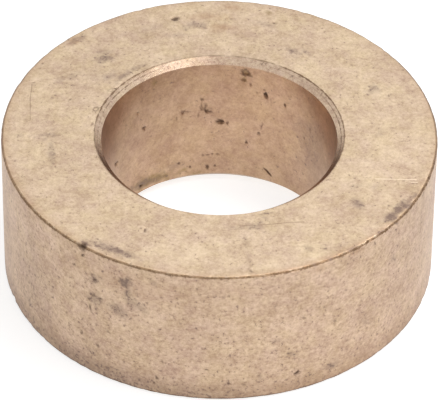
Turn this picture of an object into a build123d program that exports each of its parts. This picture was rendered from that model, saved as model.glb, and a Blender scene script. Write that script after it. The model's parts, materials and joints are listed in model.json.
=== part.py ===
from build123d import *
import os
from math import atan, degrees

# Plain bronze bushing: one thick ring, cast, then turned to size all over.
# Millimetres. +Z runs along the bore and the bottom face lies on Z = 0.

# Driving dimensions of the turned ring
outside_diameter = 70.0
bore_diameter = 37.9
length = 25.75
top_chamfer_width = 1.1      # lead-in at the bore's top mouth, measured along the radius
top_chamfer_depth = 1.0      # and along the axis
bottom_chamfer_width = 1.5
bottom_chamfer_depth = 1.5
edge_break = 0.3             # both outer corners, at 45 degrees

outside_radius = outside_diameter / 2
bore_radius = bore_diameter / 2
wall = outside_radius - bore_radius

# Casting pits that the turning laid open, and the dents of later handling.
# Each row is: angle round the axis in degrees from +X; place on the surface, as a share of the
# length going up or of the wall going out; width; run, the longer size; depth; turn of the run in
# degrees, 0 being up a wall or out across a face.
bore_pits = [
    (66.4, 0.775, 0.8, 1.9, 0.45, 12),
    (89.4, 0.487, 0.6, 1.5, 0.40, 90),
    (86.2, 0.487, 0.4, 0.6, 0.20, 90),
    (95.3, 0.585, 0.7, 1.3, 0.25, 80),
    (97.1, 0.616, 0.6, 1.1, 0.25, 20),
    (98.6, 0.678, 0.5, 0.5, 0.25, 0),
    (107.6, 0.600, 0.5, 1.0, 0.20, 75),
    (77.4, 0.910, 0.9, 1.3, 0.30, 70),
    (76.2, 0.335, 0.5, 0.6, 0.25, 0),
    (69.8, 0.430, 0.4, 0.9, 0.20, -25),
    (64.6, 0.135, 0.4, 2.2, 0.25, 50),
    (130.4, 0.578, 0.5, 0.7, 0.20, 60),
    (152.6, 0.460, 0.5, 0.9, 0.25, 60),
    (133.3, 0.115, 0.5, 0.7, 0.20, 0),
]
outside_pits = [
    (291.3, 0.155, 0.6, 0.9, 0.30, 30),
    (236.4, 0.775, 0.6, 1.1, 0.20, 20),
    (234.6, 0.530, 0.5, 1.9, 0.20, 10),
    (232.3, 0.280, 0.5, 0.7, 0.20, 0),
    (237.6, 0.245, 0.5, 0.7, 0.20, 0),
    (267.3, 0.250, 0.4, 0.7, 0.20, 0),
]
top_face_pits = [
    (104.3, 0.725, 0.9, 1.1, 0.40, 0),
    (163.7, 0.130, 0.7, 1.3, 0.30, 90),
    (244.0, 0.465, 0.4, 1.0, 0.20, 25),
    (73.0, 0.700, 0.4, 0.6, 0.20, 90),
    (278.6, 0.905, 0.3, 1.1, 0.20, 0),
]
floor_inset = 0.25           # how far a pit's floor lies in from its mouth, as a share of the width
lead = 0.15                  # how far each cutter stands out of the metal

# Dents across the outer corners: angle, width, run, depth, turn, 0 being across the corner
top_edge_dents = [
    (232.8, 0.9, 1.6, 0.45, 15),
    (312.8, 0.7, 1.3, 0.20, 80),
]
bottom_edge_dents = [
    (199.6, 1.4, 2.0, 0.45, 70),
]


def ring():
    # Half section of the ring, revolved about the axis
    outline = [
        (bore_radius + bottom_chamfer_width, 0),
        (outside_radius - edge_break, 0),
        (outside_radius, edge_break),
        (outside_radius, length - edge_break),
        (outside_radius - edge_break, length),
        (bore_radius + top_chamfer_width, length),
        (bore_radius, length - top_chamfer_depth),
        (bore_radius, bottom_chamfer_depth),
    ]
    section = Plane.XZ * make_face(Polyline(*outline, close=True))
    return revolve(section, Axis.Z)


def hollow(width, run, depth, turn):
    # Cutter with sloping sides and a flat floor, whose mouth, width by run, lies on the local XY
    # plane. It also reaches `lead` above that plane, so that it clears a wall that curves up to it.
    slope = floor_inset * width / depth
    widen = 2 * lead * slope
    mouth = Circle((width + widen) / 2)
    if run > width:
        mouth = SlotOverall(run + widen, width + widen)
    cutter = extrude(Pos(0, 0, lead) * mouth, -(depth + lead), taper=degrees(atan(slope)))
    return Rot(0, 0, turn) * cutter


# Each seat puts the cutter's mouth on a surface, its +Z pointing out of the metal.

def bore_seat(angle, share):
    return Rot(0, 0, angle) * Pos(bore_radius, 0, share * length) * Rot(0, -90, 0)


def outside_seat(angle, share):
    return Rot(0, 0, angle) * Pos(outside_radius, 0, share * length) * Rot(0, 90, 0)


def top_face_seat(angle, share):
    return Rot(0, 0, angle) * Pos(bore_radius + share * wall, 0, length)


def top_edge_seat(angle):
    half_break = edge_break / 2
    return Rot(0, 0, angle) * Pos(outside_radius - half_break, 0, length - half_break) * Rot(0, 45, 0)


def bottom_edge_seat(angle):
    half_break = edge_break / 2
    return Rot(0, 0, angle) * Pos(outside_radius - half_break, 0, half_break) * Rot(0, 135, 0)


def blemishes():
    # Every pit and dent of the ring as one list of cutters
    cutters = []
    for seat, pits in [
        (bore_seat, bore_pits),
        (outside_seat, outside_pits),
        (top_face_seat, top_face_pits),
    ]:
        cutters += [seat(angle, share) * hollow(*size) for angle, share, *size in pits]
    for seat, dents in [(top_edge_seat, top_edge_dents), (bottom_edge_seat, bottom_edge_dents)]:
        cutters += [seat(angle) * hollow(*size) for angle, *size in dents]
    return cutters


bushing = ring() - blemishes()

os.makedirs("parts", exist_ok=True)
export_step(bushing, "parts/bushing.step")
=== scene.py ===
import json
import bpy
import numpy as np
from mathutils import Matrix, Vector


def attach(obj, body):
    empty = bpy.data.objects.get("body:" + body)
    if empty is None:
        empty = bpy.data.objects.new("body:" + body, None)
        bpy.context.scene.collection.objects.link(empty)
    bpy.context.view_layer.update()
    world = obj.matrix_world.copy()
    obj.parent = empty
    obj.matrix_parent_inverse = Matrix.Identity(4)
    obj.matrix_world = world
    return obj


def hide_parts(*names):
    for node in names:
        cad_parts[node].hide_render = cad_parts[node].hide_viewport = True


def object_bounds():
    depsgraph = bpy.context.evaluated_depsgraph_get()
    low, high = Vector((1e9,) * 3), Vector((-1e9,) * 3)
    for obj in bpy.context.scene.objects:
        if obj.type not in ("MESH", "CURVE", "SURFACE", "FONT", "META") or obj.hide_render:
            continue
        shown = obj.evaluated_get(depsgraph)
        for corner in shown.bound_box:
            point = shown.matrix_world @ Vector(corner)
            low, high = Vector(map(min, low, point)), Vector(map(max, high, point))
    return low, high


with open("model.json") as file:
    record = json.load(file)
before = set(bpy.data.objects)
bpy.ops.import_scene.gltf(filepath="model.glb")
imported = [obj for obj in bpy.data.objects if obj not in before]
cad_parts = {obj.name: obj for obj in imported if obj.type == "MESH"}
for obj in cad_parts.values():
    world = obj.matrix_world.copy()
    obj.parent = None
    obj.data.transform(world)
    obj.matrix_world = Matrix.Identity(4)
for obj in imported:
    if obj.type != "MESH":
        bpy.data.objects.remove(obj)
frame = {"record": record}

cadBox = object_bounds()
mm = 0.001

# A plain bronze bushing: one cast ring, turned all over, used and handled.
# Sizes are in mm and angles in degrees round the axis from +X, unless a note says otherwise; the
# scene itself is in metres. A place is a height on the outside and in the bore, and a radius on
# the top face. A turn of 0 lays a mark's run up the wall or out across the face, 90 round the ring.
bushing = {
    "topChamfer": (1.1, 1.0),       # across the face, down the bore
    "bottomChamfer": (1.5, 1.5),
    "columns": 480,                 # points round the ring
    # rows across: top face, top edge, outside, bottom edge, bottom face, chamfer, bore, chamfer
    "rows": (48, 4, 66, 4, 10, 4, 58, 6),
    "crowding": 0.5,                # how much closer the rows stand near a corner, 0 to 1
    "pull": 0.62,                   # how far the grid is drawn in on a pit, 0 to 1
    # pits: surface, angle, place, width, run, turn, depth, darkness of the dirt in it
    "pits": [
        ("bore", 66.6, 19.7, 0.7, 1.05, 10, 0.28, 1.0),
        ("bore", 67.3, 20.7, 0.4, 0.4, 0, 0.08, 0.4),
        ("bore", 89.6, 12.6, 0.6, 1.4, 88, 0.25, 1.0),
        ("bore", 86.1, 12.4, 0.35, 0.45, 90, 0.15, 0.6),
        ("bore", 96.6, 15.0, 0.55, 0.8, 70, 0.14, 0.75),
        ("bore", 98.2, 15.8, 0.8, 0.9, 0, 0.05, 0.1),
        ("bore", 95.0, 14.8, 0.3, 0.7, 80, 0.10, 0.6),
        ("bore", 98.7, 17.4, 0.36, 0.36, 0, 0.12, 0.65),
        ("bore", 107.4, 15.4, 0.28, 1.5, 88, 0.07, 0.5),
        ("bore", 108.7, 15.2, 0.4, 0.5, 80, 0.10, 0.5),
        ("bore", 100.6, 14.3, 0.25, 1.1, -8, 0.06, 0.4),
        ("bore", 111.9, 14.4, 0.35, 0.5, 0, 0.10, 0.5),
        ("bore", 77.2, 23.4, 1.1, 1.3, 70, 0.10, 0.1),
        ("bore", 78.0, 21.9, 0.6, 0.7, 40, 0.10, 0.35),
        ("bore", 74.6, 21.2, 0.45, 0.5, 0, 0.10, 0.45),
        ("bore", 71.1, 19.7, 0.3, 0.4, 0, 0.08, 0.5),
        ("bore", 76.3, 8.6, 0.4, 0.5, 0, 0.20, 0.9),
        ("bore", 69.9, 11.2, 0.45, 0.6, -25, 0.12, 0.65),
        ("bore", 68.4, 12.9, 0.25, 1.2, -20, 0.05, 0.4),
        ("bore", 55.7, 19.0, 0.35, 0.5, 90, 0.12, 0.85),
        ("bore", 64.5, 3.3, 0.42, 2.1, 48, 0.15, 0.9),
        ("bore", 130.6, 14.9, 0.5, 0.75, 90, 0.20, 0.85),
        ("bore", 134.8, 18.85, 0.35, 0.5, 90, 0.10, 0.6),
        ("bore", 152.6, 11.9, 0.5, 1.0, 90, 0.18, 0.8),
        ("bore", 133.1, 2.8, 0.5, 0.75, 90, 0.20, 0.9),
        ("bore", 110.7, 4.5, 0.4, 0.7, 80, 0.12, 0.7),
        ("bore", 104.8, 3.3, 0.35, 0.5, 0, 0.12, 0.7),
        ("bore", 95.8, 2.9, 0.6, 0.9, 0, 0.15, 0.8),
        ("bore", 92.2, 3.1, 0.35, 0.5, 0, 0.12, 0.7),
        ("bore", 98.0, 5.4, 0.28, 0.4, 90, 0.06, 0.6),
        ("bore", 95.7, 5.5, 0.28, 0.5, 90, 0.06, 0.6),
        ("bore", 93.4, 5.65, 0.28, 0.4, 90, 0.06, 0.6),
        ("bore", 91.0, 5.65, 0.28, 0.5, 90, 0.06, 0.6),
        ("bore", 42.7, 14.3, 0.3, 0.4, 0, 0.08, 0.6),
        ("bore", 38.7, 17.0, 0.3, 0.4, 0, 0.08, 0.5),
        ("outside", 291.3, 3.9, 0.5, 1.0, 125, 0.22, 1.0),
        ("outside", 236.7, 20.0, 0.55, 0.9, -40, 0.10, 0.65),
        ("outside", 235.8, 20.9, 0.4, 0.6, -40, 0.05, 0.35),
        ("outside", 236.2, 16.6, 0.5, 0.9, -35, 0.08, 0.55),
        ("outside", 234.7, 15.5, 0.4, 0.7, -40, 0.10, 0.65),
        ("outside", 235.1, 13.7, 0.35, 1.3, 8, 0.10, 0.55),
        ("outside", 238.3, 16.5, 0.45, 0.8, -35, 0.08, 0.55),
        ("outside", 230.1, 21.0, 0.35, 0.55, -45, 0.10, 0.7),
        ("outside", 232.2, 7.3, 0.38, 0.65, -40, 0.15, 0.85),
        ("outside", 233.1, 6.2, 0.35, 0.55, -40, 0.08, 0.5),
        ("outside", 237.5, 6.35, 0.5, 0.8, -35, 0.10, 0.55),
        ("outside", 240.6, 10.3, 0.3, 0.9, 85, 0.06, 0.5),
        ("outside", 232.9, 23.9, 0.35, 0.8, -40, 0.10, 0.8),
        ("outside", 254.3, 3.4, 0.35, 0.7, 0, 0.12, 0.7),
        ("outside", 253.6, 2.3, 0.35, 0.5, 0, 0.10, 0.7),
        ("outside", 256.0, 7.1, 0.3, 0.4, 0, 0.10, 0.6),
        ("outside", 267.3, 6.5, 0.3, 0.5, 60, 0.15, 0.7),
        ("outside", 273.1, 3.5, 0.5, 0.6, 0, 0.12, 0.5),
        ("outside", 277.2, 3.2, 0.4, 0.5, 0, 0.08, 0.4),
        ("outside", 272.9, 21.9, 0.35, 0.5, 0, 0.12, 0.6),
        ("outside", 264.8, 23.3, 0.3, 0.4, 0, 0.08, 0.5),
        ("outside", 292.8, 15.3, 0.3, 0.4, 0, 0.08, 0.6),
        ("outside", 302.0, 12.4, 0.35, 0.4, 90, 0.08, 0.6),
        ("topFace", 104.3, 30.6, 1.05, 1.2, 80, 0.20, 1.0),
        ("topFace", 163.7, 20.8, 0.75, 1.0, 80, 0.10, 0.1),
        ("topFace", 244.2, 26.4, 0.4, 0.9, 25, 0.15, 0.7),
        ("topFace", 73.0, 30.2, 0.4, 0.5, 90, 0.15, 0.7),
        ("topFace", 278.7, 33.5, 0.3, 0.9, 10, 0.12, 0.6),
        ("topFace", 20.4, 29.2, 0.3, 0.6, 80, 0.10, 0.6),
        ("topFace", 161.2, 25.6, 0.3, 0.4, 60, 0.12, 0.7),
        ("topFace", 198.4, 27.4, 0.3, 0.5, 60, 0.12, 0.6),
        ("topFace", 157.5, 32.8, 0.35, 0.45, 0, 0.10, 0.6),
        ("topFace", 148.9, 33.9, 0.3, 0.5, 90, 0.10, 0.6),
        ("topFace", 107.7, 28.3, 0.25, 0.35, 0, 0.08, 0.5),
        ("topFace", 86.7, 29.9, 0.3, 0.4, 0, 0.08, 0.5),
        ("topFace", 76.2, 26.7, 0.25, 0.35, 0, 0.08, 0.4),
        ("topFace", 174.0, 20.6, 0.4, 1.1, 90, 0.08, 0.4),
        ("topFace", 146.6, 20.35, 0.4, 0.6, 20, 0.08, 0.8),
    ],
    # dirt left round the mouth of a shallow pit: surface, angle, place, width, run, turn, darkness
    "rings": [
        ("bore", 77.2, 23.4, 1.0, 1.2, 70, 0.75),
        ("bore", 78.0, 21.9, 0.5, 0.6, 40, 0.4),
        ("topFace", 163.7, 20.8, 0.7, 0.95, 80, 0.75),
        ("topFace", 148.9, 20.7, 0.5, 0.8, 80, 0.5),
        ("bore", 98.2, 15.8, 0.85, 0.95, 0, 0.7),
    ],
    # dents across an outer edge: angle, "top" or "bottom", width round the ring, depth, darkness
    "dents": [
        (232.7, "top", 1.4, 0.42, 0.9),
        (312.7, "top", 1.2, 0.16, 0.0),
        (199.6, "bottom", 1.6, 0.35, 0.8),
    ],
    # stains: film, surface, angle, place, width, run, turn, strength. A mark's number in its list
    # seeds its ragged outline, so a new one goes at the end.
    "stains": [
        ("greyFilmAndShade", "topFace", 135.2, 26.8, 1.8, 2.8, 70, 1.2),
        ("greyFilmAndShade", "topFace", 133.0, 28.0, 1.6, 3.0, 50, 0.5),
        ("greyFilmAndShade", "topFace", 149.0, 27.8, 1.2, 3.0, 70, 0.5),
        ("greyFilmAndShade", "topFace", 153.1, 29.1, 1.2, 2.6, 80, 0.4),
        ("greyFilmAndShade", "topFace", 141.7, 22.9, 1.6, 3.0, 80, 0.65),
        ("greyFilmAndShade", "topFace", 137.0, 21.3, 1.0, 4.0, 88, 0.9),
        ("greyFilmAndShade", "topFace", 130.0, 21.4, 0.9, 3.6, 88, 0.75),
        ("greyFilmAndShade", "topFace", 145.0, 25.0, 2.6, 4.0, 60, 0.25),
        ("greyFilmAndShade", "topFace", 105.4, 26.3, 1.2, 4.0, 85, 0.45),
        ("greyFilmAndShade", "topFace", 98.2, 28.3, 1.8, 3.4, 88, 0.9),
        ("greyFilmAndShade", "topFace", 112.0, 29.4, 1.8, 6.0, 85, 0.25),
        ("tanFilmAndShade", "topFace", 89.5, 27.6, 2.2, 5.0, 88, 0.7),
        ("tanFilmAndShade", "topFace", 94.0, 30.4, 2.0, 7.0, 85, 0.6),
        ("tanFilmAndShade", "topFace", 86.6, 32.9, 1.6, 3.0, 85, 0.7),
        ("tanFilmAndShade", "topFace", 135.5, 33.6, 1.8, 4.4, 85, 1.0),
        ("greyFilmAndShade", "topFace", 134.8, 33.5, 1.2, 3.6, 85, 0.9),
        ("oliveFilm", "topFace", 75.8, 32.6, 0.8, 1.2, 60, 0.8),
        ("greyFilmAndShade", "topFace", 75.5, 29.4, 1.2, 3.2, 80, 0.65),
        ("greyFilmAndShade", "topFace", 61.2, 24.5, 1.0, 2.8, 85, 1.1),
        ("greyFilmAndShade", "topFace", 56.2, 25.5, 1.0, 2.2, 80, 0.7),
        ("greyFilmAndShade", "topFace", 58.5, 23.4, 0.8, 2.4, 80, 0.4),
        ("greyFilmAndShade", "topFace", 25.2, 27.4, 1.8, 2.6, 20, 0.95),
        ("greyFilmAndShade", "topFace", 0.4, 25.5, 1.2, 2.2, 70, 0.4),
        ("greyFilmAndShade", "topFace", 332.8, 27.9, 1.6, 2.4, 30, 0.45),
        ("greyFilmAndShade", "topFace", 181.7, 27.6, 0.8, 3.8, 0, 0.8),
        ("greyFilmAndShade", "topFace", 190.6, 27.2, 1.4, 5.0, 84, 0.65),
        ("greyFilmAndShade", "topFace", 184.0, 28.0, 0.8, 1.2, 60, 0.6),
        ("greyFilmAndShade", "topFace", 181.9, 32.0, 0.9, 1.1, 0, 0.6),
        ("greyFilmAndShade", "topFace", 323.6, 33.8, 1.8, 3.2, 80, 1.5),
        ("greyFilmAndShade", "topFace", 328.6, 33.8, 2.0, 4.2, 84, 1.5),
        ("greyFilmAndShade", "topFace", 333.5, 34.2, 1.0, 3.0, 88, 0.9),
        ("greyFilmAndShade", "topFace", 322.1, 27.8, 1.8, 2.6, 0, 1.0),
        ("greyFilmAndShade", "topFace", 330.0, 25.2, 1.4, 2.2, 40, 0.4),
        ("greyFilmAndShade", "topFace", 236.6, 33.4, 0.9, 4.0, 86, 1.1),
        ("greyFilmAndShade", "topFace", 240.8, 32.9, 1.3, 6.0, 87, 1.3),
        ("greyFilmAndShade", "topFace", 244.8, 32.8, 1.1, 3.0, 86, 1.0),
        ("greyFilmAndShade", "topFace", 283.9, 23.4, 1.3, 2.8, 80, 0.9),
        ("greyFilmAndShade", "topFace", 277.0, 23.2, 1.0, 4.0, 88, 0.4),
        ("greyFilmAndShade", "topFace", 291.2, 20.9, 0.6, 2.4, 80, 0.9),
        ("greyFilmAndShade", "topFace", 306.5, 34.8, 0.8, 2.6, 88, 1.2),
        ("greyFilmAndShade", "topFace", 300.3, 34.8, 0.6, 1.3, 88, 1.3),
        ("greyFilmAndShade", "topFace", 295.4, 34.8, 0.6, 1.0, 88, 1.3),
        ("greyFilmAndShade", "topFace", 317.0, 34.8, 0.7, 2.6, 88, 1.3),
        ("greyFilmAndShade", "topFace", 289.6, 22.0, 0.5, 2.0, 20, 0.6),
        ("greyFilmAndShade", "topFace", 296.8, 31.1, 1.0, 1.5, 20, 0.8),
        ("greyFilmAndShade", "topFace", 300.8, 32.1, 0.9, 1.2, 0, 0.5),
        ("greyFilmAndShade", "topFace", 279.5, 26.8, 0.8, 3.0, -3, 0.5),
        ("greyFilmAndShade", "topFace", 279.0, 30.5, 0.7, 3.6, -3, 0.35),
        ("greyFilmAndShade", "outside", 245.8, 21.9, 1.7, 2.6, -25, 1.5),
        ("greyFilmAndShade", "outside", 246.7, 19.6, 1.4, 2.4, -10, 1.2),
        ("greyFilmAndShade", "outside", 236.7, 20.2, 1.6, 2.4, -35, 0.9),
        ("greyFilmAndShade", "outside", 237.0, 16.0, 2.0, 3.0, -60, 0.9),
        ("greyFilmAndShade", "outside", 243.6, 15.5, 2.2, 3.4, 70, 0.9),
        ("greyFilmAndShade", "outside", 248.5, 18.0, 2.0, 5.0, 60, 0.65),
        ("greyFilmAndShade", "outside", 253.4, 23.4, 1.2, 1.8, 30, 0.5),
        ("greyFilmAndShade", "outside", 209.8, 5.4, 2.2, 4.0, 88, 0.45),
        ("greyFilmAndShade", "outside", 236.0, 4.4, 1.6, 3.4, 80, 0.4),
        ("greyFilmAndShade", "outside", 281.4, 4.5, 1.0, 1.6, 0, 0.5),
        ("greyFilmAndShade", "outside", 289.8, 8.1, 0.9, 1.6, 70, 0.6),
        ("greyFilmAndShade", "outside", 301.5, 3.0, 1.4, 3.0, 80, 0.9),
        ("greyFilmAndShade", "outside", 322.4, 18.4, 1.2, 1.8, 30, 0.6),
        ("greyFilmAndShade", "outside", 285.3, 11.8, 0.5, 2.6, 75, 0.6),
        ("greyFilmAndShade", "outside", 312.0, 9.0, 1.2, 2.6, 50, 0.4),
        ("tanFilmAndShade", "outside", 308.0, 25.0, 0.8, 3.6, 90, 1.0),
        # these two broad films on the outside's front left are partly a dull film and partly painted shade
        # on the wall's darker front left
        ("tanFilmAndShade", "outside", 252.0, 22.0, 6.0, 26.0, 90, 0.35),
        ("greyFilmAndShade", "outside", 214.0, 12.0, 10.0, 18.0, 0, 0.25),
        ("greyFilmAndShade", "topFace", 232.7, 34.1, 0.9, 1.6, 86, 1.5),
        ("tanFilmAndShade", "outside", 297.0, 24.6, 1.2, 3.0, 88, 0.6),
        ("oliveFilm", "bore", 126.0, 3.0, 2.0, 9.5, 84, 1.1),
        ("greyFilmAndShade", "bore", 131.0, 3.0, 1.6, 7.0, 84, 1.0),
        ("greyFilmAndShade", "bore", 113.0, 4.2, 1.2, 4.0, 88, 0.5),
        ("oliveFilm", "bore", 124.5, 23.4, 1.0, 1.5, 20, 0.9),
        ("oliveFilm", "bore", 77.1, 23.4, 1.2, 1.6, 70, 0.8),
        ("oliveFilm", "bore", 78.0, 21.9, 0.9, 1.2, 40, 0.7),
        ("greyFilmAndShade", "bore", 95.8, 15.1, 1.6, 2.2, 80, 0.35),
        # these two in the bore's right side are partly a grey smear and partly painted shade beside the
        # bore's dark end
        ("greyFilmAndShade", "bore", 43.0, 14.0, 3.5, 5.0, 0, 0.4),
        ("greyFilmAndShade", "bore", 36.0, 13.5, 6.0, 18.0, 0, 0.45),
    ],
    # strength round the ring, as (angle, strength): of the dark line under the top rim, dirt and
    # painted shade on the rim's lower corner, and of the bright line above it, metal worn bare and
    # painted glints; of the lines at the lip of the bore's mouth and in its chamfer; of the painted
    # contact shadow along the bottom edge; of the tan film on the top face's outer rim; and of the
    # painted shade, in tan and grey, that darkens the outside towards its foot
    "rimDirtAndShade": [(0, 0.6), (40, 0.3), (140, 0.3), (180, 0.5), (215, 0.75), (270, 0.85), (292, 1.1),
                (304, 1.4), (314, 1.0), (320, 1.6), (345, 1.6), (352, 0.8)],
    "rimBareAndGlint": [(0, 0.1), (200, 0.1), (224, 0.5), (234, 0.1), (265, 0.2), (284, 0.4), (300, 0.15),
                (310, 0.2), (312.5, 1.0), (316, 0.3), (325, 0.1)],
    "lipDirt": [(0, 0.8), (20, 0.9), (50, 1.0), (62, 0.7), (85, 0.5), (100, 0.5), (118, 0.6),
                (130, 0.9), (172, 0.9), (200, 0.5), (240, 0.4), (270, 0.2), (330, 0.45)],
    "grooveDirt": [(0, 0.8), (22, 0.6), (34, 0.2), (75, 0.15), (118, 0.1), (128, 0.5), (150, 0.8),
                   (168, 0.4), (185, 0.2), (300, 0.2), (345, 0.5)],
    # the painted contact shadow along the bottom edge
    "footShadow": [(0, 0.4), (180, 0.6), (200, 1.2), (250, 1.4), (290, 1.2), (335, 0.9)],
    "rimTan": [(0, 0.3), (60, 0.1), (150, 0.4), (200, 0.6), (260, 0.4), (305, 0.8), (335, 0.4)],
    # painted shade, in tan and grey, that darkens the outside towards its foot
    "footTanShade": [(0, 0.3), (200, 0.4), (310, 0.7)],
    "footGreyShade": [(0, 0.2), (200, 0.5), (240, 0.9), (285, 0.3)],
    "rimFilm": 1.6,                 # how wide the film lies on the top face's rim
    "footShadeHeight": 5.0,                # and how high up the outside's foot the painted shade reaches
    "edgeWear": 0.06,               # how deep the outer corners are worn here and there
    "wearSpacing": (0.9, 3.5),      # shortest and longest distance between worn spots
    "relief": 0.010,                # height of the slow unevenness that turning and use left; it
                                    # never falls to 0, so the bottom face stays off the floor
    "reliefSpacing": (2.2, 9.0),
    # each surface's colour cast, how rough its finish is, and how plain its turning marks are
    "finishAndPaintedLight": {
        "topFace": ("#fcfbfa", 0.50, 0.35),
        # dirt, and painted shade that dims the lamps' highlight on the worn rim
        "topEdge": ("#c9bcae", 0.50, 0.3),
        "outside": ("#fff9f9", 0.50, 1.0),
        "bottomEdge": ("#e8dccf", 0.50, 0.5),
        "bottomFace": ("#fdfdfe", 0.50, 0.5),
        "bottomChamfer": ("#f8f4ee", 0.45, 0.8),
        "bore": ("#f4e5dd", 0.32, 0.2),
        # a painted highlight: a paler, bluer cast
        "topChamfer": ("#fffafc", 0.24, 0.7),
    },
}


def halfSection(part):
    # Corners of the closed half section as radius and height, starting at the top face's inner
    # corner and going out, down the outside, in across the bottom and up the bore.
    mounts = {m["name"]: m["dims"] for m in frame["record"]["mounts"]}
    outside = mounts["outside"]["r_mm"]
    bore = mounts["bore"]["r_mm"]
    length = (cadBox[1][2] - cadBox[0][2]) / mm
    edge = (length - mounts["outside"]["length_mm"]) / 2
    topAcross, topDown = part["topChamfer"]
    bottomAcross, bottomUp = part["bottomChamfer"]
    corners = np.array([
        (bore + topAcross, length),
        (outside - edge, length),
        (outside, length - edge),
        (outside, edge),
        (outside - edge, 0),
        (bore + bottomAcross, 0),
        (bore, bottomUp),
        (bore, length - topDown),
    ])
    # Distance of each corner along the outline, back at the first corner at the end
    closed = np.vstack([corners, corners[:1]])
    ends = np.append(0, np.cumsum(np.hypot(*np.diff(closed, axis=0).T)))
    stretches = {name: (ends[i], ends[i + 1]) for i, name in enumerate(part["finishAndPaintedLight"])}
    return {"corners": closed, "ends": ends, "stretches": stretches}


def alongOf(surface, place, outline):
    # Distance along the outline of a height in the bore or outside, or of a radius on the top face
    start = outline["stretches"][surface][0]
    if surface == "topFace":
        return start + place - outline["corners"][0][0]
    if surface == "outside":
        return start + outline["corners"][2][1] - place
    return start + place - outline["corners"][6][1]


def ripple(points, shortest, longest, count, seed):
    # A sum of plane sine waves with random directions, lengths and phases; about -1 to 1
    chance = np.random.default_rng(seed)
    directions = chance.normal(size=(count, points.shape[-1]))
    directions /= np.linalg.norm(directions, axis=1, keepdims=True)
    lengths = np.exp(chance.uniform(np.log(shortest), np.log(longest), count))
    phases = chance.uniform(0, 2 * np.pi, count)
    waves = points @ (directions * (2 * np.pi / lengths)[:, None]).T + phases
    return np.sin(waves).sum(-1) / np.sqrt(count)


def smooth(x):
    # 0 below 0, 1 above 1, and an even S between them
    x = np.clip(x, 0, 1)
    return x * x * (3 - 2 * x)


def makeGrid(part, outline):
    # Rows along the outline, closer together near its corners, and columns evenly round the ring
    rows = []
    for start, end, count in zip(outline["ends"][:-1], outline["ends"][1:], part["rows"]):
        t = np.arange(count) / count
        t = t - part["crowding"] * np.sin(2 * np.pi * t) / (2 * np.pi)
        rows.append(start + (end - start) * t)
    angle = np.arange(part["columns"]) * 360 / part["columns"]
    return np.meshgrid(angle, np.concatenate(rows), indexing="ij")


def outlineAt(along, outline):
    radii, heights = outline["corners"].T
    return np.interp(along, outline["ends"], radii), np.interp(along, outline["ends"], heights)


def roundFrom(angle, radius, markAngle):
    # Distance round the ring from a mark's angle, the short way
    return np.radians((angle - markAngle + 180) % 360 - 180) * radius


def drawIn(angle, along, part, outline):
    # Each pit draws the grid's points towards itself, each point by less the farther it stands:
    # move = pull * (centre - point) * exp(-distance^2 / (2 reach^2)), fading out at the corners.
    for surface, markAngle, place, width, run, *_ in part["pits"]:
        start, end = outline["stretches"][surface]
        radius = outlineAt(along, outline)[0]
        roundWay = roundFrom(angle, radius, markAngle)
        alongWay = along - alongOf(surface, place, outline)
        reach = 0.5 + 0.5 * max(width, run)
        fade = smooth(np.minimum(along - start, end - along) / 0.8)
        share = part["pull"] * fade * np.exp(-(roundWay**2 + alongWay**2) / (2 * reach**2))
        angle = angle - share * np.degrees(roundWay / radius)
        along = along - share * alongWay
    for markAngle, edge, width, *_ in part["dents"]:
        radius = outlineAt(along, outline)[0]
        roundWay = roundFrom(angle, radius, markAngle)
        alongWay = along - np.mean(outline["stretches"][edge + "Edge"])
        share = part["pull"] * np.exp(-(roundWay / width) ** 2 - (alongWay / 2) ** 2)
        angle = angle - share * np.degrees(roundWay / radius)
    return angle, along


def markReach(angle, along, position, outline, mark, ragged, seed):
    # How far a point lies from a mark's centre, as a share of the mark: 1 on the rim of an ellipse,
    # width by run, that is turned on the surface and whose rim a ripple makes ragged
    surface, markAngle, place, width, run, turn = mark
    roundWay = roundFrom(angle, outlineAt(along, outline)[0], markAngle)
    alongWay = along - alongOf(surface, place, outline)
    turned = np.radians(turn)
    lengthwise = (alongWay * np.cos(turned) + roundWay * np.sin(turned)) * 2 / run
    across = (roundWay * np.cos(turned) - alongWay * np.sin(turned)) * 2 / width
    reach = np.hypot(lengthwise, across)
    near = reach < 3
    reach[near] *= 1 + ragged * ripple(position[near], 0.4 * width, 1.6 * width, 12, seed)
    return reach


def hollows(angle, along, position, part, outline):
    # A pit is a bowl with steep sides: where reach is 0 at its centre and 1 at its mouth, its
    # depth is depth * S((1 - reach) / 0.55). Dirt fills the bowl and lies a little wider. A ring of
    # dirt follows a mouth: 1 - S(|reach - 1| / 0.6). A dent is such a bowl across an outer corner.
    depth = np.zeros_like(along)
    dirt = np.zeros_like(along)
    for number, (*mark, deep, dark) in enumerate(part["pits"]):
        reach = markReach(angle, along, position, outline, mark, 0.15, 100 + number)
        depth = np.maximum(depth, deep * smooth((1 - reach) / 0.55))
        dirt = np.maximum(dirt, dark * smooth((1.25 - reach) / 0.6))
    for number, (*mark, dark) in enumerate(part["rings"]):
        reach = markReach(angle, along, position, outline, mark, 0.2, 250 + number)
        dirt = np.maximum(dirt, dark * smooth(1 - np.abs(reach - 1) / 0.6))
    radius = outlineAt(along, outline)[0]
    for number, (markAngle, edge, width, deep, dark) in enumerate(part["dents"]):
        roundWay = roundFrom(angle, radius, markAngle)
        alongWay = along - np.mean(outline["stretches"][edge + "Edge"])
        reach = np.hypot(2 * roundWay / width, alongWay / (1.6 * deep + 0.3))
        near = reach < 3
        reach[near] *= 1 + 0.2 * ripple(position[near], 0.5, 1.5, 12, 200 + number)
        depth = np.maximum(depth, deep * smooth((1 - reach) / 0.9))
        dirt = np.maximum(dirt, dark * smooth((1.15 - reach) / 0.5))
    return depth, dirt


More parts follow.
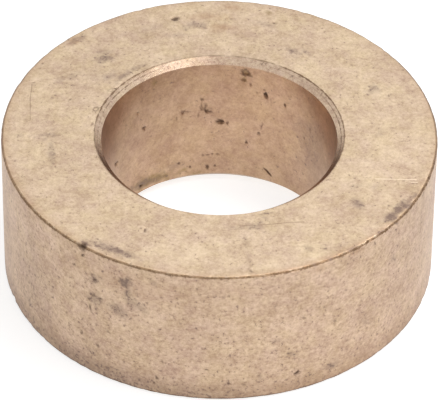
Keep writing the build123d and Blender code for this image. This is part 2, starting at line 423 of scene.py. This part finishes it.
def filmsAndShade(angle, along, position, part, outline):
    # A stain is strength * S((1.5 - reach) / 1.3): full at its middle, gone a little outside its
    # ellipse. Tan film also lies over the outer rim of the top face. Painted shade, in tan and grey,
    # darkens the outside towards its foot, each fading to nothing over the width given.
    filmAndShade = {name: np.zeros_like(along) for name in ("greyFilmAndShade", "oliveFilm", "tanFilmAndShade")}
    for number, (name, *mark, strength) in enumerate(part["stains"]):
        reach = markReach(angle, along, position, outline, mark, 0.3, 300 + number)
        filmAndShade[name] = np.maximum(filmAndShade[name], strength * smooth((1.5 - reach) / 1.3))
    rim = outline["stretches"]["topFace"][1]
    foot = outline["stretches"]["outside"][1]
    rimFade = smooth(1 - (rim - along) / part["rimFilm"]) * (along < rim + 0.2)
    rimTan = aroundRing(part["rimTan"], angle) * rimFade
    # painted shade, in tan and grey, darkening the outside towards its foot
    footShadeFade = smooth(1 - (foot - along) / part["footShadeHeight"]) * (along < foot + 0.4)
    footTanShade = aroundRing(part["footTanShade"], angle) * footShadeFade
    filmAndShade["tanFilmAndShade"] = np.maximum(filmAndShade["tanFilmAndShade"], np.maximum(rimTan, footTanShade))
    footGreyShade = aroundRing(part["footGreyShade"], angle) * footShadeFade
    filmAndShade["greyFilmAndShade"] = np.maximum(filmAndShade["greyFilmAndShade"], footGreyShade)
    return filmAndShade


def unevenness(along, position, part, outline):
    # Wear takes a little off both outer corners here and there, and a slow ripple covers the rest
    worn = np.zeros_like(along)
    spots = np.clip(0.35 + 0.8 * ripple(position, *part["wearSpacing"], 40, 7), 0, 2)
    for edge in ("topEdge", "bottomEdge"):
        fromEdge = along - np.mean(outline["stretches"][edge])
        worn += part["edgeWear"] * spots * np.exp(-(fromEdge / 0.4) ** 2)
    slow = ripple(position, *part["reliefSpacing"], 60, 9)
    return worn + part["relief"] * np.clip(1 + slow, 0.2, 2)


def outwardAt(along, outline):
    # Outward direction across the outline; a corner row takes the mean of its two sides
    sides = np.diff(outline["corners"], axis=0)
    sides /= np.linalg.norm(sides, axis=1, keepdims=True)
    outward = np.stack([-sides[:, 1], sides[:, 0]], 1)
    before = np.searchsorted(outline["ends"], along - 1e-6, side="right") - 1
    after = np.searchsorted(outline["ends"], along + 1e-6, side="right") - 1
    mean = outward[np.clip(before, -1, 7)] + outward[np.clip(after, 0, 7)]
    return mean / np.linalg.norm(mean, axis=-1, keepdims=True)


def onCylinder(angle, radius, height):
    turn = np.radians(angle)
    return np.stack([radius * np.cos(turn), radius * np.sin(turn), height], -1)


def aroundRing(pairs, angle):
    # Values given at some angles, blended evenly between them all the way round
    angles, values = zip(*pairs)
    return np.interp(angle, angles, values, period=360)


def keep(mesh, name, values):
    # Writes one number for each point of the mesh as a named attribute
    attribute = mesh.attributes.new(name, "FLOAT", "POINT")
    attribute.data.foreach_set("value", values.astype(np.float32).ravel())


def makeBushing(part):
    outline = halfSection(part)
    angle, along = drawIn(*makeGrid(part, outline), part, outline)
    radius, height = outlineAt(along, outline)
    position = onCylinder(angle, radius, height)
    depth, dirt = hollows(angle, along, position, part, outline)
    filmAndShade = filmsAndShade(angle, along, position, part, outline)
    depth += unevenness(along, position, part, outline)
    outward = outwardAt(along, outline)
    position = onCylinder(angle, radius - depth * outward[..., 0], height - depth * outward[..., 1])

    columns, rows = along.shape
    i, j = np.meshgrid(np.arange(columns), np.arange(rows), indexing="ij")
    nextI, nextJ = (i + 1) % columns, (j + 1) % rows
    quads = np.stack([
        i * rows + j, i * rows + nextJ, nextI * rows + nextJ, nextI * rows + j], -1).reshape(-1, 4)
    mesh = bpy.data.meshes.new("bushing_skin")
    mesh.vertices.add(columns * rows)
    mesh.vertices.foreach_set("co", (position * mm).astype(np.float32).ravel())
    mesh.loops.add(quads.size)
    mesh.loops.foreach_set("vertex_index", quads.astype(np.int32).ravel())
    mesh.polygons.add(len(quads))
    mesh.polygons.foreach_set("loop_start", np.arange(0, quads.size, 4, dtype=np.int32))
    mesh.polygons.foreach_set("loop_total", np.full(len(quads), 4, dtype=np.int32))
    mesh.polygons.foreach_set("use_smooth", np.ones(len(quads), dtype=bool))
    mesh.update(calc_edges=True)
    mesh.validate()

    # U runs once round the ring and V once along the outline; both close, so a corner past the
    # last column or row gets a whole turn
    u, v = angle / 360, along / outline["ends"][-1]
    cornerU = np.stack([u[i, j], u[i, nextJ], u[nextI, nextJ], u[nextI, j]], -1)
    cornerV = np.stack([v[i, j], v[i, nextJ], v[nextI, nextJ], v[nextI, j]], -1)
    cornerU[-1, :, 2:] += 1
    cornerV[:, -1, 1:3] += 1
    layer = mesh.uv_layers.new(name="roundAndAlong")
    layer.data.foreach_set("uv", np.stack([cornerU, cornerV], -1).astype(np.float32).ravel())

    # The lips of the bore's mouths stay crisp; the outer edges are worn round
    ends = np.zeros(len(mesh.edges) * 2, dtype=np.int32)
    mesh.edges.foreach_get("vertices", ends)
    edgeRows = ends.reshape(-1, 2) % rows
    starts = np.cumsum((0,) + part["rows"])
    surfaces = list(part["finishAndPaintedLight"])
    lips = [starts[surfaces.index(name)] for name in ("topFace", "bottomChamfer", "bore", "topChamfer")]
    sharp = (edgeRows[:, 0] == edgeRows[:, 1]) & np.isin(edgeRows[:, 0], lips)
    mesh.attributes.new("sharp_edge", "BOOLEAN", "EDGE").data.foreach_set("value", sharp)

    keep(mesh, "pitDirt", dirt)
    for name, strength in filmAndShade.items():
        keep(mesh, name, strength)
    for name in ("rimDirtAndShade", "rimBareAndGlint", "lipDirt", "grooveDirt", "footShadow"):
        keep(mesh, name, aroundRing(part[name], angle))
    surface = np.clip(np.searchsorted(outline["ends"], along + 1e-6, side="right") - 1, 0, 7)
    casts, roughs, turned = zip(*part["finishAndPaintedLight"].values())
    keep(mesh, "roughFinish", np.array(roughs)[surface])
    keep(mesh, "turningMarks", np.array(turned)[surface])
    # the casts hold painted shade on the top edge and a painted highlight on the top chamfer
    tints = np.array([linear(cast) for cast in casts])[surface]
    cast = mesh.attributes.new("filmAndLightCast", "FLOAT_COLOR", "POINT")
    cast.data.foreach_set("color", tints.astype(np.float32).ravel())

    ring = bpy.data.objects.new("bushing_skin", mesh)
    bpy.context.scene.collection.objects.link(ring)
    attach(ring, "root")
    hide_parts("bushing")
    print("bushing:", len(quads) * 2, "triangles")
    return ring, outline


def linear(hexColour):
    # sRGB hex to linear light, with alpha 1
    parts = [int(hexColour[k:k + 2], 16) / 255 for k in (1, 3, 5)]
    return [c / 12.92 if c <= 0.04045 else ((c + 0.055) / 1.055) ** 2.4 for c in parts] + [1]


def addNode(tree, kind, settings, links):
    # Adds one node. A link's key is a socket's name or number, and its value is a node, a socket or
    # a number
    node = tree.nodes.new("ShaderNode" + kind)
    for name, value in settings.items():
        setattr(node, name, value)
    for key, source in links.items():
        socket = node.inputs[key] if isinstance(key, int) else next(
            s for s in node.inputs if s.name == key and s.enabled)
        if isinstance(source, bpy.types.Node):
            source = next(s for s in source.outputs if s.enabled)
        if isinstance(source, bpy.types.NodeSocket):
            tree.links.new(source, socket)
        else:
            socket.default_value = source
    return node


# Cast bearing bronze, tin bronze: turned all over, then dulled by years of air and hands. The metal
# itself is a warm pale gold with a satin reflection. A thin uneven film of oxide and grease greys
# and browns it in clouds, pores hold black dirt, and rubbed places and scratches show bare metal.
# Some of it is painted light: shade in the film towards the outside's foot, on its front left and
# in the bore's right side, a contact shadow along the bottom edge, shade on the top rim's lower
# corner, and glints in the bare line along the rim's upper corner and in the bare scratches.
castBronze = {
    "light": ("#d7c3a5", "#d6c1a9"),    # clean metal, where it leans to yellow and where to pink
    "dull": ("#ad9579", "#ad937f"),     # the same under the film
    "greyFilmAndShade": "#7f6a5e",
    "oliveFilm": "#806a34",
    "tanFilmAndShade": "#a17c5c",
    "dirt": "#634936",
    "lineDirt": "#725841",
    # bare metal, and painted glints on the top rim and in the bare scratches
    "bareAndGlint": "#f6e6cc",
    "cloudSize": 7.0,                   # largest clouds of the film
    "cloudContrast": 0.145,             # half width of the noise values that go from dull to light
    "hueSize": 4.0,
    "turningShare": 1.4,                # how far turning marks move the tone
    "turning": (1.1, 0.3),              # length and width of the marks, coarser than the real feed
    "fleckSize": 0.55,
    "grainShare": 1.55,                 # how far the noise that makes flecks moves the tone too
    "flecks": (0.654, 0.749),           # noise values where flecks of dirt begin and are full
    "fleckLift": (0.12, 0.03, 0.03),    # what grey film, dirty areas and turning marks add to them
    "filmShares": {"tanFilmAndShade": 0.65, "oliveFilm": 0.75, "greyFilmAndShade": 0.75},   # how much each covers
    "pitShare": 0.85,                   # how much the dirt in a pit covers, then that in a pore
    "poreShare": 0.5,
    "bareAndGlintShare": 0.8,
    "dotSpacing": (0.8, 1.9),           # fine and coarse pores
    "dotRadius": (0.12, 0.22),          # real pores are finer, these are as coarse as they need to show
    "edgeTint": (0.83, 0.82, 0.84),     # what the metal reflects at a glance, as a share of white
    "coat": (0.25, 0.45),               # the thin film of grease: weight and roughness
    # dirt lines, of which the rim's is partly painted shade and the foot's a painted contact shadow,
    # and the bare one with its painted glints: how far the middle lies from where it starts, and half
    # width. The groove's place is a share of the chamfer instead.
    "lipLine": 0.16,
    "rimDirtAndShadeLine": (-0.15, 0.30),
    "grooveLine": (0.55, 0.11),
    "footShadowLine": (0.1, 0.32),
    "bareAndGlintLine": (0.04, 0.11),
    # scratches: bare metal with a painted glint, or dirty, half width, then angle and radius of its points
    # on the top face
    "scratches": [
        ("bareAndGlint", 0.07, [(336.4, 27.1), (340.8, 33.1)]),
        ("bareAndGlint", 0.06, [(339.2, 32.6), (339.8, 33.5)]),
        ("dirty", 0.09, [(158.5, 32.8), (164.7, 31.8), (174.3, 30.6)]),
        ("dirty", 0.09, [(279.5, 22.9), (288.6, 23.45), (296.5, 24.2), (302.0, 25.3)]),
    ],
}


def cloud(tree, place, size, detail, rough, low, high, swirl=0.0):
    # Fractal noise whose largest features are `size` mm, its values from low to high spread to 0 to 1
    noise = addNode(tree, "TexNoise", {}, {
        "Vector": place, "Scale": 1 / (size * mm), "Detail": detail, "Roughness": rough,
        "Distortion": swirl})
    return addNode(tree, "MapRange", {}, {"Value": noise, "From Min": low, "From Max": high})


def dots(tree, place, spacing, radius, crowd):
    # Scattered dots: 1 - S(distance to the nearest of random points / (radius * crowd))
    points = addNode(tree, "TexVoronoi", {}, {"Vector": place, "Scale": 1 / (spacing * mm)})
    size = addNode(tree, "Math", {"operation": "MULTIPLY"}, {0: crowd, 1: radius / spacing})
    half = addNode(tree, "Math", {"operation": "MULTIPLY"}, {0: size, 1: 0.35})
    return addNode(tree, "MapRange", {"interpolation_type": "SMOOTHSTEP"}, {
        "Value": points.outputs["Distance"], "From Min": half, "From Max": size,
        "To Min": 1.0, "To Max": 0.0})


def band(tree, distance, halfWidth, wander):
    # A ragged line: 1 - S(|distance| + wander) from the middle of the line to its sides, in mm
    away = addNode(tree, "Math", {"operation": "ABSOLUTE"}, {0: distance})
    away = addNode(tree, "Math", {"operation": "ADD"}, {0: away, 1: wander})
    return addNode(tree, "MapRange", {"interpolation_type": "SMOOTHSTEP"}, {
        "Value": away, "From Min": halfWidth * 0.3, "From Max": halfWidth * 1.3,
        "To Min": 1.0, "To Max": 0.0})


def scratchLine(tree, place, halfWidth, points, height):
    # Distance to the nearest of the straight runs between the points: with h = the share along a
    # run, clamped to 0 to 1, |p - a - h (b - a)|; 1 within half the width, fading to 0 beyond it
    ends = [Vector(onCylinder(angle, radius, height)) * mm for angle, radius in points]
    nearest = None
    for a, b in zip(ends[:-1], ends[1:]):
        run = b - a
        fromA = addNode(tree, "VectorMath", {"operation": "SUBTRACT"}, {0: place, 1: a})
        share = addNode(tree, "VectorMath", {"operation": "DOT_PRODUCT"}, {
            0: fromA, 1: run / run.length_squared})
        share = addNode(tree, "Clamp", {}, {"Value": share.outputs["Value"]})
        on = addNode(tree, "VectorMath", {"operation": "SCALE"}, {0: run, "Scale": share})
        off = addNode(tree, "VectorMath", {"operation": "DISTANCE"}, {0: fromA, 1: on}).outputs["Value"]
        nearest = off if nearest is None else addNode(tree, "Math", {"operation": "MINIMUM"}, {
            0: nearest, 1: off})
    return addNode(tree, "MapRange", {"interpolation_type": "SMOOTHSTEP"}, {
        "Value": nearest, "From Min": halfWidth * 0.3 * mm, "From Max": halfWidth * 1.3 * mm,
        "To Min": 1.0, "To Max": 0.0})


def makeCastBronze(look, outline):
    material = bpy.data.materials.new("castBearingBronze")
    material.use_nodes = True
    tree = material.node_tree
    tree.nodes.clear()
    place = addNode(tree, "TexCoord", {}, {}).outputs["Object"]
    unwrapped = addNode(tree, "UVMap", {"uv_map": "roundAndAlong"}, {})
    perimeter = outline["ends"][-1]
    v = addNode(tree, "SeparateXYZ", {}, {0: unwrapped}).outputs["Y"]
    along = addNode(tree, "Math", {"operation": "MULTIPLY"}, {0: v, 1: perimeter})   # mm along the outline

    # Turning marks: noise that is long round the ring and narrow across it
    x, y, _ = addNode(tree, "SeparateXYZ", {}, {0: place}).outputs
    length, width = look["turning"]
    roundX = addNode(tree, "Math", {"operation": "DIVIDE"}, {0: x, 1: length * mm})
    roundY = addNode(tree, "Math", {"operation": "DIVIDE"}, {0: y, 1: length * mm})
    across = addNode(tree, "Math", {"operation": "DIVIDE"}, {0: along, 1: width})
    stretched = addNode(tree, "CombineXYZ", {}, {0: roundX, 1: roundY, 2: across})
    marks = addNode(tree, "TexNoise", {}, {
        "Vector": stretched, "Scale": 1.0, "Detail": 4.0, "Roughness": 0.9})
    marks = addNode(tree, "Math", {"operation": "SUBTRACT"}, {0: marks, 1: 0.5})
    marks = addNode(tree, "Math", {"operation": "MULTIPLY"}, {0: marks, 1: look["turningShare"]})
    plain = addNode(tree, "Attribute", {"attribute_name": "turningMarks"}, {}).outputs["Fac"]

    # Clean and dull metal by a fractal cloud with as much contrast small as large, plus the marks
    spread = look["cloudContrast"]
    grain = addNode(tree, "TexNoise", {}, {
        "Vector": place, "Scale": 1 / (look["fleckSize"] * mm), "Detail": 3.0, "Roughness": 0.6})
    grainMove = addNode(tree, "Math", {"operation": "MULTIPLY_ADD"}, {
        0: grain, 1: look["grainShare"], 2: -0.5 * look["grainShare"]})
    tone = cloud(tree, place, look["cloudSize"], 7.0, 1.0, 0.5 - spread, 0.5 + spread)
    grainMove = addNode(tree, "Math", {"operation": "MULTIPLY"}, {
        0: grainMove, 1: addNode(tree, "MapRange", {}, {"Value": plain, "To Min": 0.35, "To Max": 1.0})})
    tone = addNode(tree, "Math", {"operation": "SUBTRACT"}, {0: tone, 1: grainMove})
    tone = addNode(tree, "Math", {"operation": "MULTIPLY_ADD", "use_clamp": True}, {
        0: marks, 1: plain, 2: tone})
    hue = cloud(tree, place, look["hueSize"], 4.0, 0.75, 0.36, 0.64)
    light = addNode(tree, "Mix", {"data_type": "RGBA"}, {
        "Factor": hue, "A": linear(look["light"][0]), "B": linear(look["light"][1])})
    dull = addNode(tree, "Mix", {"data_type": "RGBA"}, {
        "Factor": hue, "A": linear(look["dull"][0]), "B": linear(look["dull"][1])})
    colour = addNode(tree, "Mix", {"data_type": "RGBA"}, {"Factor": tone, "A": dull, "B": light})
    # Each surface's cast, with painted shade on the top edge and a painted highlight on the top chamfer
    cast = addNode(tree, "Attribute", {"attribute_name": "filmAndLightCast"}, {}).outputs["Color"]
    colour = addNode(tree, "Mix", {"data_type": "RGBA", "blend_type": "MULTIPLY"}, {
        "Factor": 1.0, "A": colour, "B": cast})

    # Films: each is a soft stain, broken up by finer noise; some of the grey and tan is painted shade
    # towards the outside's foot, on its front left and in the bore's right side. The grey one also
    # raises the noise that makes flecks, so they stand thick in a stain and thin elsewhere.
    breakUp = cloud(tree, place, 1.3, 5.0, 0.8, 0.36, 0.6)
    filmAndShade = {}
    for name, share in look["filmShares"].items():
        filmAndShade[name] = addNode(tree, "Attribute", {"attribute_name": name}, {}).outputs["Fac"]
        broken = addNode(tree, "Math", {"operation": "MULTIPLY_ADD"}, {
            0: breakUp, 1: 0.6 * share, 2: 0.4 * share})
        broken = addNode(tree, "Math", {"operation": "MULTIPLY"}, {0: filmAndShade[name], 1: broken})
        colour = addNode(tree, "Mix", {"data_type": "RGBA"}, {
            "Factor": broken, "A": colour, "B": linear(look[name])})
    crowd = cloud(tree, place, 6.0, 4.0, 0.7, 0.4, 0.68)
    lifted = grain
    for source, lift in zip((filmAndShade["greyFilmAndShade"], crowd, plain), look["fleckLift"]):
        lifted = addNode(tree, "Math", {"operation": "MULTIPLY_ADD"}, {0: source, 1: lift, 2: lifted})
    flecks = addNode(tree, "MapRange", {"interpolation_type": "SMOOTHSTEP"}, {
        "Value": lifted, "From Min": look["flecks"][0], "From Max": look["flecks"][1], "To Max": 0.8})
    colour = addNode(tree, "Mix", {"data_type": "RGBA"}, {
        "Factor": flecks, "A": colour, "B": linear(look["greyFilmAndShade"])})

    # Dirt: in the pits, in pores of two sizes that crowd where the metal is dirtier, and in ragged
    # lines under the top rim, there partly painted shade, and along both lips of the chamfer; the line
    # down at the bottom edge is a painted contact shadow
    pitDirt = addNode(tree, "Attribute", {"attribute_name": "pitDirt"}, {}).outputs["Fac"]
    fine = dots(tree, place, look["dotSpacing"][0], look["dotRadius"][0], crowd)
    coarse = dots(tree, place, look["dotSpacing"][1], look["dotRadius"][1], crowd)
    pores = addNode(tree, "Math", {"operation": "MAXIMUM"}, {0: fine, 1: coarse})
    pores = addNode(tree, "Math", {"operation": "MULTIPLY"}, {0: pores, 1: look["poreShare"]})
    dirt = addNode(tree, "Math", {"operation": "MULTIPLY"}, {0: pitDirt, 1: look["pitShare"]})
    dirt = addNode(tree, "Math", {"operation": "MAXIMUM"}, {0: dirt, 1: pores})

    wander = cloud(tree, place, 1.4, 5.0, 0.8, 0.35, 0.65)
    wander = addNode(tree, "MapRange", {}, {"Value": wander, "To Min": -0.09, "To Max": 0.13})
    ragged = cloud(tree, place, 0.9, 4.0, 0.9, 0.38, 0.62)
    ragged = addNode(tree, "MapRange", {}, {"Value": ragged, "To Min": -0.12, "To Max": 0.40})
    bareAndGlintRagged = cloud(tree, place, 1.1, 4.0, 0.9, 0.42, 0.58)
    bareAndGlintRagged = addNode(tree, "MapRange", {}, {"Value": bareAndGlintRagged, "To Min": 0.34, "To Max": -0.10})

    # The lip's line lies where the outline starts and ends; the others lie a set way along it
    outsideStart, outsideEnd = outline["stretches"]["outside"]
    chamferStart, chamferEnd = outline["stretches"]["topChamfer"]
    grooveShare, grooveHalf = look["grooveLine"]
    fromLip = addNode(tree, "Math", {"operation": "PINGPONG"}, {0: along, 1: perimeter / 2})
    strength = addNode(tree, "Attribute", {"attribute_name": "lipDirt"}, {}).outputs["Fac"]
    lineDirt = addNode(tree, "Math", {"operation": "MULTIPLY"}, {
        0: band(tree, fromLip, look["lipLine"], wander), 1: strength})
    for name, middle, halfWidth, edge in (
            # dirt, and painted shade on the top rim's lower corner
            ("rimDirtAndShade", outsideStart + look["rimDirtAndShadeLine"][0], look["rimDirtAndShadeLine"][1], ragged),
            ("grooveDirt", chamferStart + grooveShare * (chamferEnd - chamferStart), grooveHalf, wander),
            # a painted contact shadow along the bottom edge
            ("footShadow", outsideEnd + look["footShadowLine"][0], look["footShadowLine"][1], wander)):
        away = addNode(tree, "Math", {"operation": "SUBTRACT"}, {0: along, 1: middle})
        strength = addNode(tree, "Attribute", {"attribute_name": name}, {}).outputs["Fac"]
        line = addNode(tree, "Math", {"operation": "MULTIPLY"}, {
            0: band(tree, away, halfWidth, edge), 1: strength})
        lineDirt = addNode(tree, "Math", {"operation": "MAXIMUM"}, {0: lineDirt, 1: line})

    # A bright line on the top rim's upper corner: metal worn bare and painted glints
    bareAndGlintMiddle = outline["stretches"]["topEdge"][0] + look["bareAndGlintLine"][0]
    fromCorner = addNode(tree, "Math", {"operation": "SUBTRACT"}, {0: along, 1: bareAndGlintMiddle})
    strength = addNode(tree, "Attribute", {"attribute_name": "rimBareAndGlint"}, {}).outputs["Fac"]
    bareAndGlint = addNode(tree, "Math", {"operation": "MULTIPLY"}, {
        0: band(tree, fromCorner, look["bareAndGlintLine"][1], bareAndGlintRagged), 1: strength})
    height = outline["corners"][0][1]
    for kind, halfWidth, points in look["scratches"]:
        line = scratchLine(tree, place, halfWidth, points, height)
        if kind == "bareAndGlint":
            bareAndGlint = addNode(tree, "Math", {"operation": "MAXIMUM"}, {0: bareAndGlint, 1: line})
        else:
            uneven = addNode(tree, "MapRange", {}, {"Value": breakUp, "To Min": 0.25, "To Max": 0.7})
            line = addNode(tree, "Math", {"operation": "MULTIPLY"}, {0: line, 1: uneven})
            lineDirt = addNode(tree, "Math", {"operation": "MAXIMUM"}, {0: lineDirt, 1: line})
    colour = addNode(tree, "Mix", {"data_type": "RGBA"}, {
        "Factor": lineDirt, "A": colour, "B": linear(look["lineDirt"])})
    colour = addNode(tree, "Mix", {"data_type": "RGBA"}, {
        "Factor": dirt, "A": colour, "B": linear(look["dirt"])})
    bareAndGlint = addNode(tree, "Math", {"operation": "MULTIPLY"}, {0: bareAndGlint, 1: look["bareAndGlintShare"]})
    colour = addNode(tree, "Mix", {"data_type": "RGBA"}, {
        "Factor": bareAndGlint, "A": colour, "B": linear(look["bareAndGlint"])})

    # Dirt is rough and not metal; the film between is satin
    rough = addNode(tree, "Attribute", {"attribute_name": "roughFinish"}, {}).outputs["Fac"]
    rough = addNode(tree, "Math", {"operation": "MULTIPLY_ADD"}, {0: dirt, 1: 0.35, 2: rough})
    metallic = addNode(tree, "MapRange", {}, {"Value": dirt, "To Min": 1.0, "To Max": 0.4})
    relief = addNode(tree, "Math", {"operation": "MULTIPLY_ADD"}, {0: pores, 1: -1.5, 2: tone})
    bump = addNode(tree, "Bump", {}, {"Strength": 0.5, "Distance": 0.01 * mm, "Height": relief})
    shader = addNode(tree, "BsdfPrincipled", {}, {
        "Base Color": colour, "Metallic": metallic, "Roughness": rough, "Normal": bump,
        "Specular Tint": (*look["edgeTint"], 1),
        "Coat Weight": look["coat"][0], "Coat Roughness": look["coat"][1]})
    addNode(tree, "OutputMaterial", {}, {"Surface": shader})
    print("material:", len(tree.nodes), "nodes")
    return material


studio = {
    "floorSize": 6000,
    "floorColour": "#c8c8c8",
    "floorGlow": 0.78,              # share of white that the board gives to the camera and to reflections
    "worldStrength": 0.15,          # of the sky on matt surfaces; reflections see it white
    "cameraDistance": 691.96,       # from the ring's middle
    "cameraElevation": 40.399,
    "cameraRoll": 0.656,
    "focalLength": 349.69,          # on a 36 mm wide sensor
    "lookAside": (0.8, 5.4),        # view's centre, right of and below the ring's middle, in pixels
    "frameWidth": 439,
    # soft round lamps: azimuth (0 behind at +Y, 90 at +X), elevation, distance, size, watts
    "lamps": {
        "rearLeftLamp": (315, 65, 900, 500, 0.5),
        "rearRightLamp": (45, 65, 900, 500, 1.8),
        "rightLamp": (90, 65, 900, 500, 2.2),
        "lowFrontLamp": (135, 15, 900, 500, 1.8),
        "highFrontLamp": (135, 65, 900, 500, 0.6),
    },
}


def makeFloor(look):
    half = look["floorSize"] / 2 * mm
    mesh = bpy.data.meshes.new("floor")
    corners = [(-half, -half, 0), (half, -half, 0), (half, half, 0), (-half, half, 0)]
    mesh.from_pydata(corners, [], [(0, 1, 2, 3)])
    floor = bpy.data.objects.new("floor", mesh)
    bpy.context.scene.collection.objects.link(floor)
    material = bpy.data.materials.new("paintedBoard")
    material.use_nodes = True
    tree = material.node_tree
    tree.nodes.clear()
    paint = addNode(tree, "BsdfDiffuse", {}, {"Color": linear(look["floorColour"])})
    path = addNode(tree, "LightPath", {}, {})
    seen = addNode(tree, "Math", {"operation": "MAXIMUM"}, {
        0: path.outputs["Is Camera Ray"], 1: path.outputs["Is Glossy Ray"]})
    seen = addNode(tree, "Math", {"operation": "MAXIMUM"}, {0: seen, 1: path.outputs["Is Transmission Ray"]})
    share = addNode(tree, "Math", {"operation": "MULTIPLY"}, {0: seen, 1: look["floorGlow"]})
    glow = addNode(tree, "Emission", {}, {"Strength": share})
    both = addNode(tree, "AddShader", {}, {0: paint, 1: glow})
    addNode(tree, "OutputMaterial", {}, {"Surface": both})
    mesh.materials.append(material)


def makeWorld(look):
    world = bpy.data.worlds.new("studio")
    bpy.context.scene.world = world
    world.use_nodes = True
    tree = world.node_tree
    tree.nodes.clear()
    path = addNode(tree, "LightPath", {}, {})
    seen = addNode(tree, "Math", {"operation": "MAXIMUM"}, {
        0: path.outputs["Is Camera Ray"], 1: path.outputs["Is Glossy Ray"]})
    seen = addNode(tree, "Math", {"operation": "MAXIMUM"}, {0: seen, 1: path.outputs["Is Transmission Ray"]})
    strength = addNode(tree, "MapRange", {}, {"Value": seen, "To Min": look["worldStrength"], "To Max": 1.0})
    back = addNode(tree, "Background", {}, {"Color": (1, 1, 1, 1), "Strength": strength})
    addNode(tree, "OutputWorld", {}, {"Surface": back})


def makeLamp(name, azimuth, elevation, distance, size, power):
    a, e = np.radians(azimuth), np.radians(elevation)
    place = Vector((np.sin(a) * np.cos(e), np.cos(a) * np.cos(e), np.sin(e))) * distance * mm
    lamp = bpy.data.lights.new(name, "AREA")
    lamp.shape = "DISK"
    lamp.size = size * mm
    lamp.energy = power
    lampObject = bpy.data.objects.new(name, lamp)
    lampObject.matrix_world = Matrix.Translation(place) @ place.to_track_quat("Z", "Y").to_matrix().to_4x4()
    bpy.context.scene.collection.objects.link(lampObject)


def makeCamera(look):
    elevation, roll = np.radians(look["cameraElevation"]), np.radians(look["cameraRoll"])
    middle = Vector((0, 0, cadBox[1][2] / 2))
    forward = Vector((0, np.cos(elevation), -np.sin(elevation)))
    flatRight = Vector((1, 0, 0))
    flatUp = flatRight.cross(forward)
    right = flatRight * np.cos(roll) + flatUp * np.sin(roll)
    up = flatUp * np.cos(roll) - flatRight * np.sin(roll)
    place = middle - forward * look["cameraDistance"] * mm
    pixels = look["focalLength"] / 36 * look["frameWidth"]
    aside, below = look["lookAside"]
    forward = (forward + right * aside / pixels - up * below / pixels).normalized()
    right = forward.cross(up).normalized()
    up = right.cross(forward)
    camera = bpy.data.cameras.new("camera")
    camera.lens = look["focalLength"]
    camera.sensor_width = 36
    cameraObject = bpy.data.objects.new("camera", camera)
    turn = Matrix((right, up, -forward)).transposed().to_4x4()
    cameraObject.matrix_world = Matrix.Translation(place) @ turn
    bpy.context.scene.collection.objects.link(cameraObject)
    bpy.context.scene.camera = cameraObject


bpy.context.scene.view_settings.view_transform = "Standard"
ring, outline = makeBushing(bushing)
ring.data.materials.append(makeCastBronze(castBronze, outline))
makeFloor(studio)
makeWorld(studio)
for lampName, lampSettings in studio["lamps"].items():
    makeLamp(lampName, *lampSettings)
makeCamera(studio)
print("studio: floor, world,", len(studio["lamps"]), "lamps and camera")
